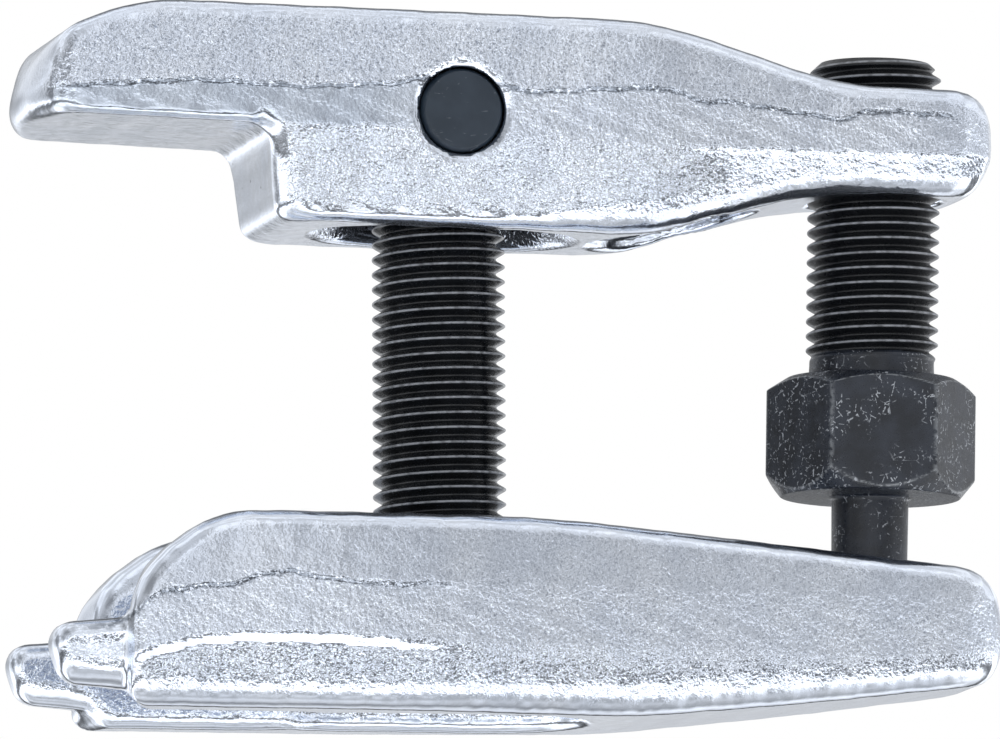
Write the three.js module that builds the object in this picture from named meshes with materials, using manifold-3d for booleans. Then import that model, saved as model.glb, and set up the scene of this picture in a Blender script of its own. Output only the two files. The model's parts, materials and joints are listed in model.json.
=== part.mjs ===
// Ball joint separator: a screw-operated press with an upper arm that rocks on a pin through a
// threaded column, a lower fork screwed onto that column, and a pressure screw at the rear.
// Millimetres. +Z up, +X towards the pressure screw, the fork tips at -X. The pieces are drawn
// with the column's axis at x = 0, y = 0 and the fork's underside at z = 0; the whole part is
// then set back by COLUMN_X so that its origin is under the middle of its length.
import * as THREE from 'three';
import { mergeVertices } from 'three/addons/utils/BufferGeometryUtils.js';
import Module from 'manifold-3d';

const wasm = await Module();
wasm.setup();

// ---- driving dimensions -------------------------------------------------------------------

const THREAD_R = 8.93; // M18 x 2, major radius as rolled
const RUNNING_GAP = 0.32; // clearance left between a shaft and the bore it works in
const SECTORS = 48; // facets round the main turned parts
const PIN_SECTORS = 40;
const BALL_SECTORS = 32;
const BALL_RINGS = 20;
const PAST = 2; // how far a cutting or crossing solid runs past the faces it meets

const COLUMN_X = -9.86; // the column's axis in the finished part

const PIVOT_Z = 80.7; // height of the pivot pin's axis
const REST_TILT = 1.2; // degrees the arm rests rear end down
const SCREW_X = 60.35; // pressure screw's axis, along the arm from the pin

const PIN_R = 6.0;
const PIN_LENGTH = 32.0;
const PIN_BORE_R = 6.3;

const FORK_LENGTH_FRONT = 56.8; // from the column's axis to the tips of the prongs
const FORK_BODY_FRONT = 46.5; // where the thick part of the prongs ends
const FORK_REAR = 77.2;
const FORK_HEIGHT = 26.1;
const FORK_HALF_WIDTH = 22.6;
const FORK_GAP_HALF = 11.5; // half the opening between the prongs
const FORK_GAP_CENTRE = -25.0; // centre of the round closed end of the opening
const FORK_PARTING_Z = 14.0;
const FORK_LEAN = 0.0038; // how much the sides lean in, as a share of the width per millimetre
const FORK_RECESS_DEPTH = 3.5; // hollow in the underside below the column's bore
const FORK_RECESS_CENTRE = -2.5;
const FORK_RECESS_HALF_LENGTH = 22.0;
const TIP_BOTTOM = 3.2;
const TIP_TOP = 11.3;

const SEAT_HALF_WIDTH = 5.6; // oblong seat in the fork for the tip of the pressure screw
const SEAT_HALF_LENGTH = 10.1;
const SEAT_X = 59.0;
const SEAT_FLOOR = 18.6;

const COLUMN_BOTTOM = 4.2;
const COLUMN_TOP = PIVOT_Z + 10.8;

const ARM_HALF_WIDTH = 16.3;
const ARM_PARTING_Z = 2.4; // above the pin's axis
const ARM_LEAN = 0.0052;
const ARM_LOW = -15.1;
const ARM_HIGH = 13.6;
const SLOT_HALF_WIDTH = 9.3; // oblong opening the column stands in
const SLOT_HALF_LENGTH = 18.1;
const SLOT_CENTRE = 0.9;
const SLOT_TOP_SHARE = 0.9; // the slot is this much shorter at the arm's top

const SCREW_TOP = 10.8; // heights from here on are measured along the arm from the pin
const SCREW_THREAD_END = -29.2;
const HEX_TOP = -32.0;
const HEX_BOTTOM = -48.6;
const HEX_ACROSS_FLATS = 24.8;
const HEX_TURN = -4; // degrees
const HEX_FACE_R = 11.3; // flat ring left by the chamfers on the hexagon's ends
const HEX_CHAMFER = 2.4;
const COLLAR_R = 8.3;
const SHANK_R = 5.2;
const SHANK_END = -58.8;
const BALL_R = 3.5;
const BALL_Z = -57.05;
const SOCKET_R = 3.8;

// ---- helpers ------------------------------------------------------------------------------

function solid(geometry) {
  const bare = new THREE.BufferGeometry();
  bare.setAttribute('position', geometry.getAttribute('position').clone());
  if (geometry.index) bare.setIndex(geometry.index.clone());
  const welded = mergeVertices(bare, 1e-4);
  return new wasm.Manifold(new wasm.Mesh({
    numProp: 3,
    vertProperties: new Float32Array(welded.getAttribute('position').array),
    triVerts: new Uint32Array(welded.index.array),
  }));
}

function meshOf(name, body, colour, metalness, roughness) {
  const mesh = body.getMesh();
  const geometry = new THREE.BufferGeometry();
  geometry.setAttribute('position', new THREE.BufferAttribute(mesh.vertProperties.slice(), 3));
  geometry.setIndex(new THREE.BufferAttribute(mesh.triVerts.slice(), 1));
  geometry.computeVertexNormals();
  const material = new THREE.MeshStandardMaterial({ color: colour, metalness, roughness });
  const result = new THREE.Mesh(geometry, material);
  result.name = name;
  return result;
}

// A side profile drawn in (x, z), given thickness across y.
function acrossY(shape, halfWidth) {
  const options = { depth: 2 * halfWidth, curveSegments: 6, bevelEnabled: false };
  return new THREE.ExtrudeGeometry(shape, options).translate(0, 0, -halfWidth).rotateX(Math.PI / 2);
}

// A plan profile drawn in (x, y), standing from z0 to z1. With a parting height, its sides
// lean in by `lean` per millimetre of height above and below it, as a forging die needs.
function upZ(shape, z0, z1, { parting = null, lean = 0 } = {}) {
  const geometry = new THREE.ExtrudeGeometry(shape, {
    depth: z1 - z0,
    steps: parting === null ? 1 : 2,
    curveSegments: 12,
    bevelEnabled: false,
  });
  geometry.translate(0, 0, z0);
  if (parting !== null) {
    const position = geometry.getAttribute('position');
    for (let i = 0; i < position.count; i += 1) {
      let z = position.getZ(i);
      if (z > z0 + 0.01 && z < z1 - 0.01) z = parting;
      position.setZ(i, z);
      position.setY(i, position.getY(i) * (1 - lean * Math.abs(z - parting)));
    }
  }
  return geometry;
}

function stadium(centreX, halfLength, halfWidth) {
  const straight = halfLength - halfWidth;
  const shape = new THREE.Shape();
  shape.moveTo(centreX - straight, -halfWidth);
  shape.lineTo(centreX + straight, -halfWidth);
  shape.absarc(centreX + straight, 0, halfWidth, -Math.PI / 2, Math.PI / 2, false);
  shape.lineTo(centreX - straight, halfWidth);
  shape.absarc(centreX - straight, 0, halfWidth, Math.PI / 2, 1.5 * Math.PI, false);
  return shape;
}

// A turned body about z from a list of [radius, z] that starts and ends on the axis.
function turned(profile, sectors = SECTORS) {
  const points = profile.map(([r, z]) => new THREE.Vector2(r, z));
  return new THREE.LatheGeometry(points, sectors).rotateX(Math.PI / 2);
}

function boreAlongZ(x, z0, z1) {
  const radius = THREAD_R + RUNNING_GAP;
  return new THREE.CylinderGeometry(radius, radius, z1 - z0, SECTORS)
    .rotateX(Math.PI / 2).translate(x, 0, (z0 + z1) / 2);
}

function pinBore(z) {
  const length = 2 * (ARM_HALF_WIDTH + PAST);
  return new THREE.CylinderGeometry(PIN_BORE_R, PIN_BORE_R, length, PIN_SECTORS)
    .translate(0, 0, z);
}

function ballAt(radius) {
  return new THREE.SphereGeometry(radius, BALL_SECTORS, BALL_RINGS)
    .rotateX(Math.PI / 2).translate(0, 0, BALL_Z);
}

// ---- lower fork ---------------------------------------------------------------------------

function lowerFork() {
  const side = new THREE.Shape();
  side.moveTo(-43.0, 0);
  side.lineTo(22.0, 0);
  side.quadraticCurveTo(26.5, 0.1, 30.0, 0.6);
  side.lineTo(47.8, 2.4);
  side.lineTo(69.5, 5.2);
  side.quadraticCurveTo(FORK_REAR + 0.2, 6.4, FORK_REAR, 11.0);
  side.quadraticCurveTo(76.6, 19.8, 68.0, 21.6);
  side.lineTo(46.0, 23.4);
  side.lineTo(19.0, 25.6);
  side.quadraticCurveTo(12.0, FORK_HEIGHT, 4.0, FORK_HEIGHT);
  side.lineTo(-28.0, FORK_HEIGHT);
  side.quadraticCurveTo(-38.0, 26.0, -42.6, 21.3);
  side.quadraticCurveTo(-46.4, 17.5, -FORK_BODY_FRONT, 12.5);
  side.lineTo(-FORK_BODY_FRONT, 3.5);
  side.quadraticCurveTo(-FORK_BODY_FRONT, 0, -43.0, 0);

  const plan = new THREE.Shape();
  plan.moveTo(-FORK_BODY_FRONT - 1, -20.5);
  plan.quadraticCurveTo(-44.8, -FORK_HALF_WIDTH, -39.0, -FORK_HALF_WIDTH);
  plan.lineTo(-20.0, -FORK_HALF_WIDTH);
  plan.quadraticCurveTo(0, -22.2, 18.0, -18.6);
  plan.lineTo(64.0, -11.2);
  plan.quadraticCurveTo(FORK_REAR, -9.2, FORK_REAR, 0);
  plan.quadraticCurveTo(FORK_REAR, 9.2, 64.0, 11.2);
  plan.lineTo(18.0, 18.6);
  plan.quadraticCurveTo(0, 22.2, -20.0, FORK_HALF_WIDTH);
  plan.lineTo(-39.0, FORK_HALF_WIDTH);
  plan.quadraticCurveTo(-44.8, FORK_HALF_WIDTH, -FORK_BODY_FRONT - 1, 20.5);

  const leaning = { parting: FORK_PARTING_Z, lean: FORK_LEAN };
  let body = solid(acrossY(side, FORK_HALF_WIDTH + PAST))
    .intersect(solid(upZ(plan, -PAST, FORK_HEIGHT + PAST, leaning)));

  // Thin tips: lower than the prongs and set in from their outer faces.
  const tipSide = new THREE.Shape();
  const tipMiddle = (TIP_BOTTOM + TIP_TOP) / 2;
  tipSide.moveTo(-40, TIP_BOTTOM);
  tipSide.lineTo(-40, TIP_TOP + 0.6);
  tipSide.lineTo(-53, TIP_TOP - 0.2);
  tipSide.quadraticCurveTo(-FORK_LENGTH_FRONT, TIP_TOP - 1, -FORK_LENGTH_FRONT, tipMiddle);
  tipSide.quadraticCurveTo(-FORK_LENGTH_FRONT, TIP_BOTTOM, -52, TIP_BOTTOM);
  for (const hand of [-1, 1]) {
    const tipPlan = new THREE.Shape();
    tipPlan.moveTo(-40, hand * 11.0);
    tipPlan.lineTo(-54.5, hand * 11.6);
    tipPlan.quadraticCurveTo(-FORK_LENGTH_FRONT, hand * 11.8, -FORK_LENGTH_FRONT, hand * 14.0);
    tipPlan.quadraticCurveTo(-56.2, hand * 18.2, -50.0, hand * 19.4);
    tipPlan.lineTo(-40, hand * 20.6);
    body = body.add(solid(acrossY(tipSide, FORK_HALF_WIDTH + PAST))
      .intersect(solid(upZ(tipPlan, TIP_BOTTOM - PAST, TIP_TOP + PAST))));
  }

  // Opening between the prongs.
  const gap = new THREE.Shape();
  gap.moveTo(-FORK_LENGTH_FRONT - PAST, -FORK_GAP_HALF);
  gap.lineTo(FORK_GAP_CENTRE, -FORK_GAP_HALF);
  gap.absarc(FORK_GAP_CENTRE, 0, FORK_GAP_HALF, -Math.PI / 2, Math.PI / 2, false);
  gap.lineTo(-FORK_LENGTH_FRONT - PAST, FORK_GAP_HALF);
  body = body.subtract(solid(upZ(gap, -PAST, FORK_HEIGHT + PAST)));

  // Hollow in the underside, bore for the column, seat for the pressure screw.
  const recess = stadium(FORK_RECESS_CENTRE, FORK_RECESS_HALF_LENGTH, FORK_GAP_HALF);
  body = body.subtract(solid(upZ(recess, -PAST, FORK_RECESS_DEPTH)));
  body = body.subtract(solid(boreAlongZ(0, -PAST, FORK_HEIGHT + PAST)));
  const seat = stadium(SEAT_X, SEAT_HALF_LENGTH, SEAT_HALF_WIDTH);
  body = body.subtract(solid(upZ(seat, SEAT_FLOOR, FORK_HEIGHT + PAST)));
  return meshOf('lower_fork', body, 0xcfd6e0, 1.0, 0.35);
}

// ---- upper arm ----------------------------------------------------------------------------

function upperArm() {
  const side = new THREE.Shape();
  side.moveTo(-22.6, ARM_LOW);
  side.lineTo(24.0, -14.9);
  side.quadraticCurveTo(28.0, -14.8, 33.0, -12.9);
  side.lineTo(46.0, -9.3);
  side.quadraticCurveTo(50.0, -8.4, 55.0, -8.2);
  side.lineTo(68.0, -7.7);
  side.quadraticCurveTo(75.8, -7.0, 76.1, -0.5);
  side.quadraticCurveTo(76.0, 5.8, 69.5, 6.2);
  side.lineTo(56.0, 6.4);
  side.quadraticCurveTo(51.0, 6.5, 46.5, 7.6);
  side.lineTo(33.5, 11.2);
  side.quadraticCurveTo(26.0, 13.5, 18.0, ARM_HIGH);
  side.lineTo(-26.0, 13.5);
  side.quadraticCurveTo(-36.0, 13.4, -43.5, 12.2);
  side.lineTo(-50.0, 9.9);
  side.quadraticCurveTo(-56.2, 7.3, -57.7, 2.0);
  side.lineTo(-57.3, -1.5);
  side.lineTo(-28.6, -2.6);
  side.quadraticCurveTo(-25.8, -2.8, -25.4, -5.8);
  side.lineTo(-23.9, -13.6);
  side.quadraticCurveTo(-23.7, -15.0, -22.6, ARM_LOW);

  const plan = new THREE.Shape();
  plan.moveTo(-57.2, -9.0);
  plan.quadraticCurveTo(-56.4, -14.9, -50.0, -15.4);
  plan.lineTo(-30.0, -ARM_HALF_WIDTH);
  plan.lineTo(22.0, -ARM_HALF_WIDTH);
  plan.quadraticCurveTo(34.0, -16.0, 46.0, -14.6);
  plan.lineTo(62.0, -13.6);
  plan.quadraticCurveTo(76.1, -12.8, 76.1, 0);
  plan.quadraticCurveTo(76.1, 12.8, 62.0, 13.6);
  plan.lineTo(46.0, 14.6);
  plan.quadraticCurveTo(34.0, 16.0, 22.0, ARM_HALF_WIDTH);
  plan.lineTo(-30.0, ARM_HALF_WIDTH);
  plan.lineTo(-50.0, 15.4);
  plan.quadraticCurveTo(-56.4, 14.9, -57.2, 9.0);
  plan.quadraticCurveTo(-57.8, 0, -57.2, -9.0);

  const leaning = { parting: ARM_PARTING_Z, lean: ARM_LEAN };
  let body = solid(acrossY(side, ARM_HALF_WIDTH + PAST))
    .intersect(solid(upZ(plan, ARM_LOW - PAST, ARM_HIGH + PAST, leaning)));
  const opening = stadium(SLOT_CENTRE, SLOT_HALF_LENGTH, SLOT_HALF_WIDTH);
  const slot = upZ(opening, ARM_LOW - PAST, ARM_HIGH + PAST);
  const position = slot.getAttribute('position');
  for (let i = 0; i < position.count; i += 1) {
    // The ends of the slot lean in towards the top; its flat sides stay parallel.
    if (position.getZ(i) > 0) {
      position.setX(i, SLOT_CENTRE + (position.getX(i) - SLOT_CENTRE) * SLOT_TOP_SHARE);
    }
  }
  body = body.subtract(solid(slot));
  body = body.subtract(solid(pinBore(0)));
  body = body.subtract(solid(boreAlongZ(SCREW_X, ARM_LOW - PAST, ARM_HIGH + PAST)));
  return meshOf('upper_arm', body, 0xcfd6e0, 1.0, 0.35);
}

// ---- turned parts -------------------------------------------------------------------------

function threadedColumn() {
  let body = solid(turned([
    [0, COLUMN_BOTTOM],
    [THREAD_R - 1.3, COLUMN_BOTTOM],
    [THREAD_R, COLUMN_BOTTOM + 1.3],
    [THREAD_R, PIVOT_Z + 5.0],
    [THREAD_R - 1.0, PIVOT_Z + 8.2],
    [THREAD_R - 3.2, COLUMN_TOP - 0.6],
    [THREAD_R - 5.0, COLUMN_TOP],
    [0, COLUMN_TOP],
  ]));
  body = body.subtract(solid(pinBore(PIVOT_Z)));
  return meshOf('threaded_column', body, 0x1b1d20, 1.0, 0.4);
}

function pivotPin() {
  const half = PIN_LENGTH / 2;
  const pin = turned([
    [0, -half],
    [PIN_R - 0.7, -half],
    [PIN_R, -half + 0.7],
    [PIN_R, half - 0.7],
    [PIN_R - 0.7, half],
    [0, half],
  ], PIN_SECTORS).rotateX(Math.PI / 2);
  return meshOf('pivot_pin', solid(pin), 0x32383f, 1.0, 0.4);
}

function pressureScrew() {
  const stem = solid(turned([
    [0, SHANK_END],
    [SHANK_R - 0.6, SHANK_END],
    [SHANK_R, SHANK_END + 0.8],
    [SHANK_R, HEX_BOTTOM + 1],
    [SHANK_R, HEX_TOP - 1],
    [COLLAR_R, HEX_TOP - 0.5],
    [COLLAR_R, SCREW_THREAD_END],
    [THREAD_R, SCREW_THREAD_END + 0.6],
    [THREAD_R, SCREW_TOP - 1.4],
    [THREAD_R - 1.5, SCREW_TOP],
    [0, SCREW_TOP],
  ]));
  const cornerR = HEX_ACROSS_FLATS / Math.sqrt(3);
  const outline = new THREE.Shape();
  for (let i = 0; i < 6; i += 1) {
    const angle = (i * Math.PI) / 3 + THREE.MathUtils.degToRad(HEX_TURN);
    if (i === 0) outline.moveTo(cornerR * Math.cos(angle), cornerR * Math.sin(angle));
    else outline.lineTo(cornerR * Math.cos(angle), cornerR * Math.sin(angle));
  }
  const chamfered = solid(turned([
    [0, HEX_BOTTOM],
    [HEX_FACE_R, HEX_BOTTOM],
    [cornerR + 0.1, HEX_BOTTOM + HEX_CHAMFER],
    [cornerR + 0.1, HEX_TOP - HEX_CHAMFER],
    [HEX_FACE_R, HEX_TOP],
    [0, HEX_TOP],
  ]));
  let body = stem.add(solid(upZ(outline, HEX_BOTTOM - 1, HEX_TOP + 1)).intersect(chamfered));
  body = body.subtract(solid(ballAt(SOCKET_R)));
  return meshOf('pressure_screw', body, 0x1e2124, 1.0, 0.45);
}

function thrustBall() {
  return meshOf('thrust_ball', solid(ballAt(BALL_R)), 0xbfc4c9, 1.0, 0.2);
}

// The arm and all it carries are drawn with the pin's axis as origin, then set on the column.
const screw = new THREE.Group();
screw.position.x = SCREW_X;
screw.add(pressureScrew(), thrustBall());

const arm = new THREE.Group();
arm.position.z = PIVOT_Z;
arm.rotation.y = THREE.MathUtils.degToRad(REST_TILT);
arm.add(upperArm(), pivotPin(), screw);

const part = new THREE.Group();
part.name = 'ball_joint_separator';
part.position.x = COLUMN_X;
part.add(lowerFork(), threadedColumn(), arm);

export default part;
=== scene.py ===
"""Looks of the ball joint separator: two bright plated forgings, a black threaded column, a black pin
and a black pressure screw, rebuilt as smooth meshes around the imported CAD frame.

Shapes are worked out in millimetres in each piece's own frame and written in metres in the CAD's.
"""
import json
import math

import bpy
import numpy as np
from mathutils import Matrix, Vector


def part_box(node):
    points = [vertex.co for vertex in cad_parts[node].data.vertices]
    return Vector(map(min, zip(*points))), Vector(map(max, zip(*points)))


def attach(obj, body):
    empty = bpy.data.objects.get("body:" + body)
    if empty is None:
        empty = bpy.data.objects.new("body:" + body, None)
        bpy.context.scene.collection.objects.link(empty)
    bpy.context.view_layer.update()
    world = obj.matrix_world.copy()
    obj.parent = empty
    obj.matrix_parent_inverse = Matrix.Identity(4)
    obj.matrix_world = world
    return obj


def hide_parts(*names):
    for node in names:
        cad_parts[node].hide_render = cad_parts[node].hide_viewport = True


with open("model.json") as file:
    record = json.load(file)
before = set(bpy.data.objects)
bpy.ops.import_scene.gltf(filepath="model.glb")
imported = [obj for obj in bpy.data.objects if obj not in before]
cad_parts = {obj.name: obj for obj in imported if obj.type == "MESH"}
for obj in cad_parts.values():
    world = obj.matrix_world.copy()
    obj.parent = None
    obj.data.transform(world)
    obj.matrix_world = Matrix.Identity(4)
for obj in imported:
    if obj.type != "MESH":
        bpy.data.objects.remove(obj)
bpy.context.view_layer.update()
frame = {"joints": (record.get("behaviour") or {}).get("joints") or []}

import openvdb
from mathutils import Matrix, Vector

MM = 0.001
FORGING_STEP = 0.42  # spacing of the points on the forgings

# ---- places, from the frame ----------------------------------------------------------------

joints = {joint["name"]: joint for joint in frame["joints"]}
PIVOT = Vector(joints["arm_pivot"]["pos_m"]) / MM
SCREW_POINT = Vector(joints["screw_turn"]["pos_m"]) / MM
SCREW_DOWN = Vector(joints["screw_turn"]["axis"])
REST_TILT = math.atan2(-SCREW_DOWN.x, -SCREW_DOWN.z)


def box_mm(node):
    low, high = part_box(node)
    return low / MM, high / MM


FORK_LOW, FORK_HIGH = box_mm("lower_fork")
COLUMN_LOW, COLUMN_HIGH = box_mm("threaded_column")
PIN_LOW, PIN_HIGH = box_mm("pivot_pin")
COLUMN_X = (COLUMN_LOW.x + COLUMN_HIGH.x) / 2

FORK_PLACE = Matrix.Translation((COLUMN_X, 0, 0))
ARM_PLACE = Matrix.Translation(PIVOT) @ Matrix.Rotation(REST_TILT, 4, "Y")
SCREW_X = (ARM_PLACE.inverted() @ SCREW_POINT).x
SCREW_PLACE = ARM_PLACE @ Matrix.Translation((SCREW_X, 0, 0))

# ---- sizes, in millimetres ------------------------------------------------------------------

PITCH = 2.0
TURN = 2 * math.pi
THREAD_R = (COLUMN_HIGH.x - COLUMN_LOW.x) / 2
THREAD_DEPTH = 1.23
CREST_WEAR_AND_SHEEN_DEPTH = 0.11  # how far down a thread's flanks the crest's wear and painted highlight reach
BLANK_R = 8.4  # plain neck of the pressure screw
TAPPED_R = THREAD_R + 0.17
COLUMN_PHASE = 1.45  # height of the crest on the +X side, in each thread's own frame
SCREW_PHASE = 0.8

FORK_FRONT = FORK_LOW.x - COLUMN_X
FORK_REAR = FORK_HIGH.x - COLUMN_X
FORK_TOP = FORK_HIGH.z
FORK_HALF_WIDTH = FORK_HIGH.y
PRONG_FRONT = FORK_FRONT + 9.4
PRONG_GAP_HALF = 11.5
SLOT_END_X = -25.0

FORK_RECESS_X = -2.5  # hollow in the fork's underside, round the column's bore
FORK_RECESS_HALF_LENGTH = 22.0
FORK_RECESS_DEPTH = 3.5

SEAT_X = 59.0
SEAT_HALF_WIDTH = 5.6
SEAT_HALF_LENGTH = 10.1
SEAT_FLOOR = 18.6

ARM_HALF_WIDTH = 16.3
ARM_SLOT_X = 0.9
ARM_SLOT_HALF_WIDTH = 9.3
ARM_SLOT_HALF_LENGTH = 18.1
POCKET_X = 32.5  # shallow pocket in the arm's underside, behind the slot
POCKET_HALF_LENGTH = 11.5
POCKET_HALF_WIDTH = 10.5
POCKET_DEPTH = 2.2
PIN_R = (PIN_HIGH.x - PIN_LOW.x) / 2 - 0.4  # a little under the solid's, so a gap shows round it
PIN_HOLE_R = PIN_R + 0.25
PIN_HALF_LENGTH = PIN_HIGH.y
PIN_SPOT_R = 6.45  # machined ring round the pin's end
PIN_SPOT_DEPTH = 0.35

SCREW_TOP = 10.8
SCREW_THREAD_END = -29.9
HEX_TOP = -32.0
HEX_BOTTOM = -48.1
HEX_FLAT_R = 12.4
HEX_CORNER_R = HEX_FLAT_R / math.cos(math.pi / 6)
HEX_BLANK_R = HEX_CORNER_R + 0.1  # the flats are cut into a round this wide
HEX_UPPER_FACE_R = 11.3
HEX_UPPER_CHAMFER = 2.0
HEX_LOWER_FACE_R = 12.1
HEX_LOWER_CHAMFER = 2.9
HEX_TURN = math.radians(-5.5)
SHANK_R = 5.2
SHANK_END = -58.8
SOCKET_R = 3.8
BALL_R = 3.5
BALL_Z = -57.05


# ---- solids as distance fields --------------------------------------------------------------
# A field gives, in millimetres, how far a point lies outside a shape, and is negative inside.


def smoothstep(low, high, value):
    t = np.clip((value - low) / (high - low), 0, 1)
    return t * t * (3 - 2 * t)


def rounded_corner(before, corner, after, steps):
    """Points round a corner (x, z, reach): it's rounded over that length of both its edges."""
    here = np.array(corner[:2], float)
    reach = corner[2]
    if reach == 0:
        return [here]
    back = np.array(before[:2], float) - here
    ahead = np.array(after[:2], float) - here
    start = here + back / np.linalg.norm(back) * reach
    end = here + ahead / np.linalg.norm(ahead) * reach
    return [(1 - t) ** 2 * start + 2 * t * (1 - t) * here + t * t * end
            for t in np.linspace(0, 1, steps)]


def rounded_outline(corners):
    """A closed outline through (x, z, reach) corners."""
    points = []
    for n, corner in enumerate(corners):
        points += rounded_corner(corners[n - 1], corner, corners[(n + 1) % len(corners)], 8)
    return np.array(points)


def outline_field(outline, x, z):
    """Signed distance to a closed outline, for x and z of any shapes that go together."""
    nearest = np.full(np.broadcast(x, z).shape, np.inf)
    inside = np.zeros(nearest.shape, bool)
    for a, b in zip(outline, np.roll(outline, -1, axis=0)):
        edge = b - a
        length2 = edge @ edge
        if length2 < 1e-12:
            continue
        t = np.clip(((x - a[0]) * edge[0] + (z - a[1]) * edge[1]) / length2, 0, 1)
        gap = (x - a[0] - t * edge[0]) ** 2 + (z - a[1] - t * edge[1]) ** 2
        nearest = np.minimum(nearest, gap)
        if a[1] != b[1]:
            crosses = (z < a[1]) != (z < b[1])
            at = a[0] + (z - a[1]) * edge[0] / edge[1]
            inside = inside ^ (crosses & (x < at))
    return np.where(inside, -1.0, 1.0) * np.sqrt(nearest)


def both(a, b, radius):
    """What lies in a and in b, with the edge between them rounded."""
    u = np.maximum(radius + a, 0)
    v = np.maximum(radius + b, 0)
    return np.minimum(-radius, np.maximum(a, b)) + np.sqrt(u * u + v * v)


def either(a, b, radius):
    """What lies in a or in b, with a fillet where they meet."""
    return -both(-a, -b, radius)


def stadium_field(x, y, centre, half_length, half_width):
    straight = half_length - half_width
    over = np.maximum(np.abs(x - centre) - straight, 0)
    return np.hypot(over, y) - half_width


def waves(x, *terms):
    """A fixed smooth unevenness: terms are (height, wavelength, phase)."""
    return sum(height * np.sin(TURN * x / length + phase) for height, length, phase in terms)


def ripple(x, y, z):
    """The slight unevenness of a forged face, about 4 to 9 mm from crest to crest."""
    first = np.sin(x / 1.31 + 1.7 * np.sin(z / 1.9 + 0.3)) * np.sin(z / 1.13 + 0.6 * np.sin(x / 2.3))
    second = np.sin(x / 0.77 + z / 1.07 + 1.1) * np.sin(z / 0.71 - x / 1.9 + 0.8 * np.sin(y / 1.7))
    return 0.035 * first + 0.02 * second


def mesh_field(field, low, high, step):
    """Vertices and faces of the surface where the field is zero, drawn onto the exact surface."""
    axes = [np.arange(a, b + step, step) for a, b in zip(low, high)]
    x = axes[0][:, None, None]
    y = axes[1][None, :, None]
    z = axes[2][None, None, :]
    values = np.broadcast_to(field(x, y, z), [len(axis) for axis in axes])
    farthest = 3.0  # the grid holds no larger distance
    grid = openvdb.FloatGrid(farthest)
    near = np.clip(values, -farthest, farthest)
    grid.copyFromArray(np.ascontiguousarray(near, dtype=np.float32))
    points, triangles, quads = grid.convertToPolygons(isovalue=0.0, adaptivity=0.0)
    points = points.astype(float) * step + np.array(low)
    reach = 0.04  # the slope is taken over this far each way
    for _ in range(3):
        here = field(*points.T)
        slope = np.stack([
            field(*(points + offset).T) - field(*(points - offset).T)
            for offset in np.eye(3) * reach
        ], axis=1) / (2 * reach)
        steep = np.maximum((slope * slope).sum(1), 0.25)
        shift = np.clip(here / steep, -0.4 * step, 0.4 * step)
        points -= slope * shift[:, None]
    faces = [tuple(quad) for quad in quads] + [tuple(triangle) for triangle in triangles]
    return points, faces


# ---- meshes ---------------------------------------------------------------------------------


def signed_volume(points, faces):
    corners = np.array([face[:3] for face in faces])
    a, b, c = (points[corners[:, i]] for i in range(3))
    total = np.einsum("ij,ij->i", a, np.cross(b, c)).sum()
    quads = np.array([face for face in faces if len(face) == 4])
    if len(quads):
        a, b, c = points[quads[:, 0]], points[quads[:, 2]], points[quads[:, 3]]
        total += np.einsum("ij,ij->i", a, np.cross(b, c)).sum()
    return total / 6


def build(name, points, faces, place, body, node, slot, material, **masks):
    """A smooth-shaded piece from points in millimetres in its own frame. Masks are per point."""
    if signed_volume(points, faces) < 0:
        faces = [tuple(reversed(face)) for face in faces]
    turn = np.array(place.to_3x3())
    world = (points @ turn.T + np.array(place.translation)) * MM
    mesh = bpy.data.meshes.new(name)
    mesh.from_pydata(world.tolist(), [], faces)
    for mask, values in masks.items():
        layer = mesh.attributes.new(mask, "FLOAT", "POINT")
        layer.data.foreach_set("value", np.asarray(values, np.float32))
    mesh.validate()
    mesh.shade_smooth()
    mesh.materials.append(material)
    piece = bpy.data.objects.new(name, mesh)
    bpy.context.scene.collection.objects.link(piece)
    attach(piece, body)
    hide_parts(node)
    return piece


def weld(points, quads):
    """Joins points that coincide. Gives the points and the faces that are left."""
    _, first, index = np.unique(np.round(points, 4), axis=0, return_index=True, return_inverse=True)
    faces = []
    for quad in index.reshape(-1)[quads].tolist():
        ring = [v for n, v in enumerate(quad) if v != quad[n - 1]]
        if len(ring) >= 3:
            faces.append(ring)
    return points[first], faces


# ---- lower fork -----------------------------------------------------------------------------

FORK_SIDE = rounded_outline([
    (PRONG_FRONT, 0, 3.2),
    (24, 0, 6),
    (48, 2.4, 8),
    (FORK_REAR, 6.0, 6.5),
    (FORK_REAR, 20.8, 8.5),
    (46, 23.4, 10),
    (12, FORK_TOP, 10),
    (-34.5, FORK_TOP, 5.5),
    (-42.8, 19.8, 3.5),
    (PRONG_FRONT, 13.0, 2.0),
])
FORK_PLAN = rounded_outline([
    (-43.4, -9, 0),
    (FORK_REAR, -9, 0),
    (FORK_REAR, 9.8, 9),
    (20, 18.4, 12),
    (-10, FORK_HALF_WIDTH, 12),
    (PRONG_FRONT - 0.4, FORK_HALF_WIDTH, 4.5),
    (-43.4, 9, 0),
])
TIP_SIDE = rounded_outline([
    (FORK_FRONT, 3.3, 3.8),
    (-36, 1.6, 0),
    (-36, 12.6, 0),
    (FORK_FRONT, 10.9, 3.8),
])
TIP_PLAN = rounded_outline([
    (FORK_FRONT, 9.5, 0),
    (-36, 9.5, 0),
    (-36, 21.2, 0),
    (FORK_FRONT, 18.8, 3.2),
])
FORK_BOTTOM = [(-48, 0), (24, 0), (48, 2.4), (77, 6.0)]
FORK_PARTING = [(-57, 10.6), (-49, 10.4), (-46.8, 11.5), (-44.1, 13.8), (-42.1, 14.9), (-37.4, 15.6),
                (-32, 16.1), (-29, 17.4), (-25.2, 17.8), (-19.8, 16.9), (-13, 16.3), (10, 17.0)]
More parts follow.
